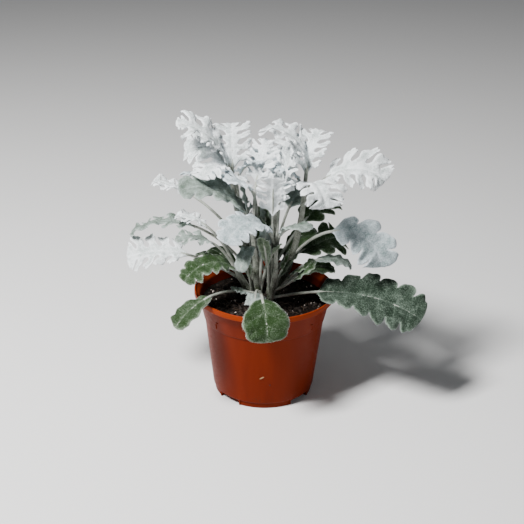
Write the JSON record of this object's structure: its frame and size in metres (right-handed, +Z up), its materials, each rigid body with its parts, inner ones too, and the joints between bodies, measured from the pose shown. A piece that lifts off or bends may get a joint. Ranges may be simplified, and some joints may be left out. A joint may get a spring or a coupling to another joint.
{
  "type": "dusty miller in a nursery pot",
  "caption": "Silver-leaved dusty miller with felted, deeply lobed leaves, standing in soil in a round tapered plastic nursery pot.",
  "frame": {"origin": "middle of the pot's underside, on the surface that the pot stands on", "axes": "+Z up along the pot's axis, -Y towards the viewer of the picture, +X to the viewer's right"},
  "size_m": [0.2522, 0.1775, 0.2415],
  "materials": {
    "pot_plastic": "smooth moulded",
    "potting_soil": "loose damp crumbs",
    "felted_leaf": "white felt"
  },
  "bodies": {
    "root": {"pot": "pot_plastic", "soil": "potting_soil", "shoot_right": "felted_leaf", "shoot_back_right": "felted_leaf", "shoot_back_left": "felted_leaf", "shoot_left": "felted_leaf", "shoot_front_left": "felted_leaf", "shoot_front_right": "felted_leaf"}
  },
  "joints": []
}
